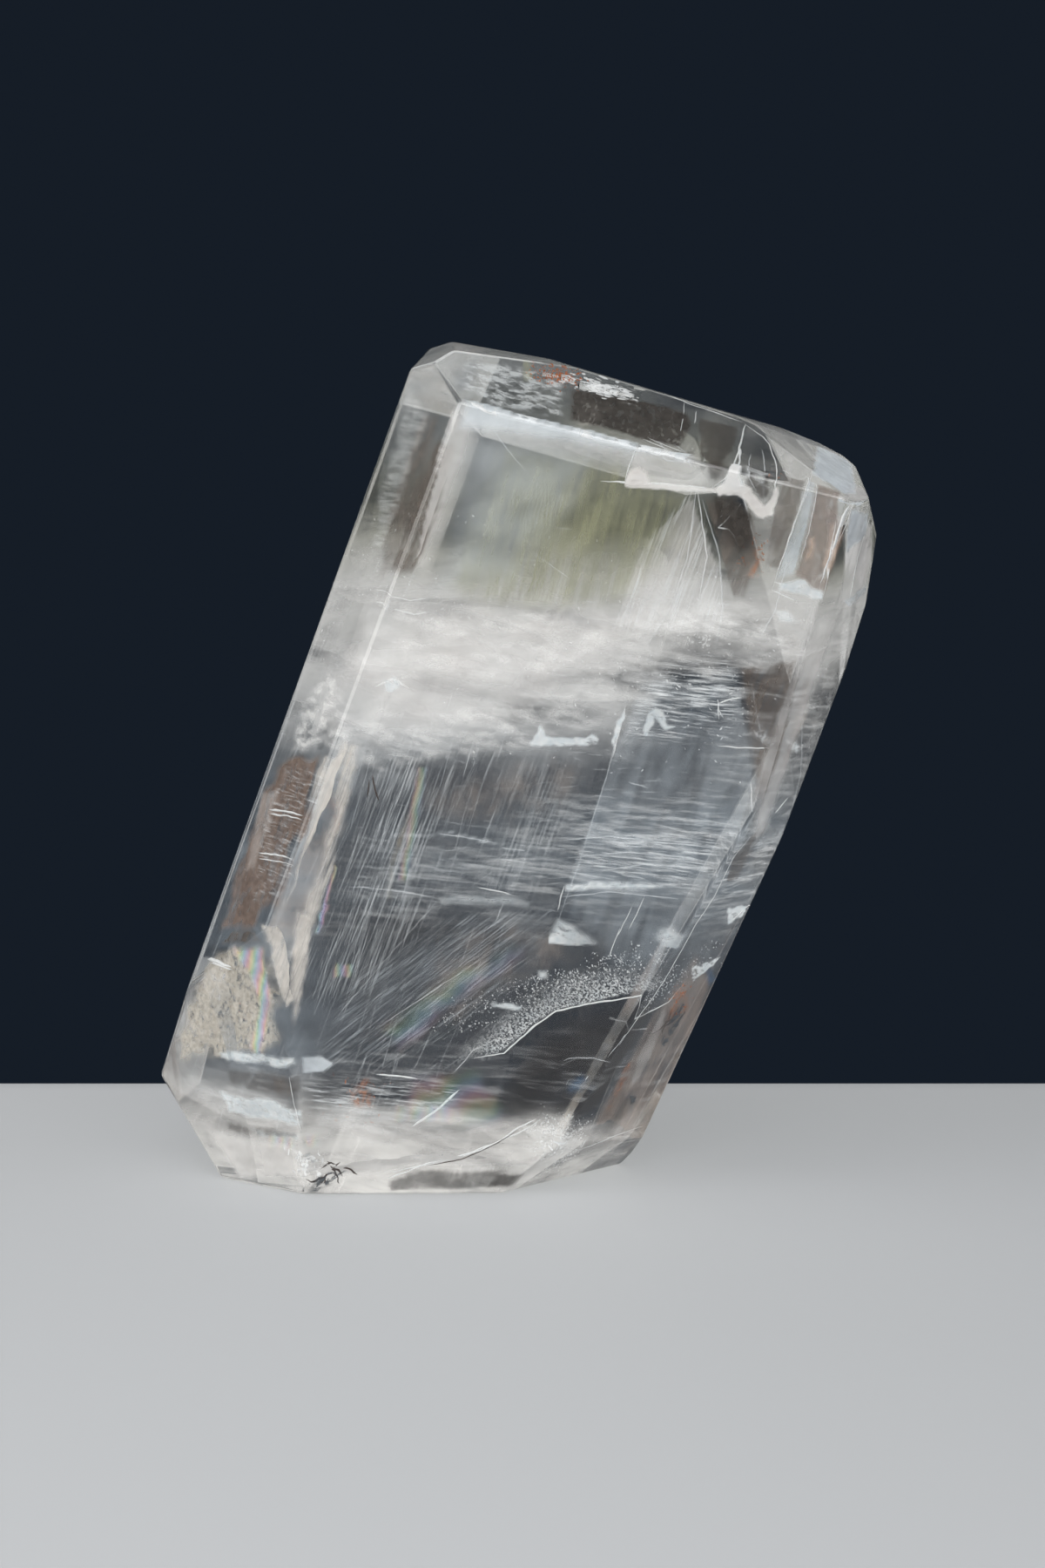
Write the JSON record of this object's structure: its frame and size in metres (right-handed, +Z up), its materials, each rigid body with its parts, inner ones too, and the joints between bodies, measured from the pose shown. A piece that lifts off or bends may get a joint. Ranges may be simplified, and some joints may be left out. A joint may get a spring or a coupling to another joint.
{
  "type": "calcite freeform",
  "caption": "Block of clear calcite, flat-ground and polished on every side, standing upright on a sawn base and leaning to one side.",
  "frame": {"origin": "on the plane of the sawn base, under the middle of the bounding box", "axes": "+Z up, -Y towards the viewer of the broad polished front, +X the way the stone leans"},
  "size_m": [0.1271, 0.047, 0.1485],
  "materials": {
    "clear_calcite": "polished clear calcite with a milky cloud band, cleavage cracks and a few rust stains inside"
  },
  "bodies": {
    "root": {"calcite": "clear_calcite"}
  },
  "joints": []
}
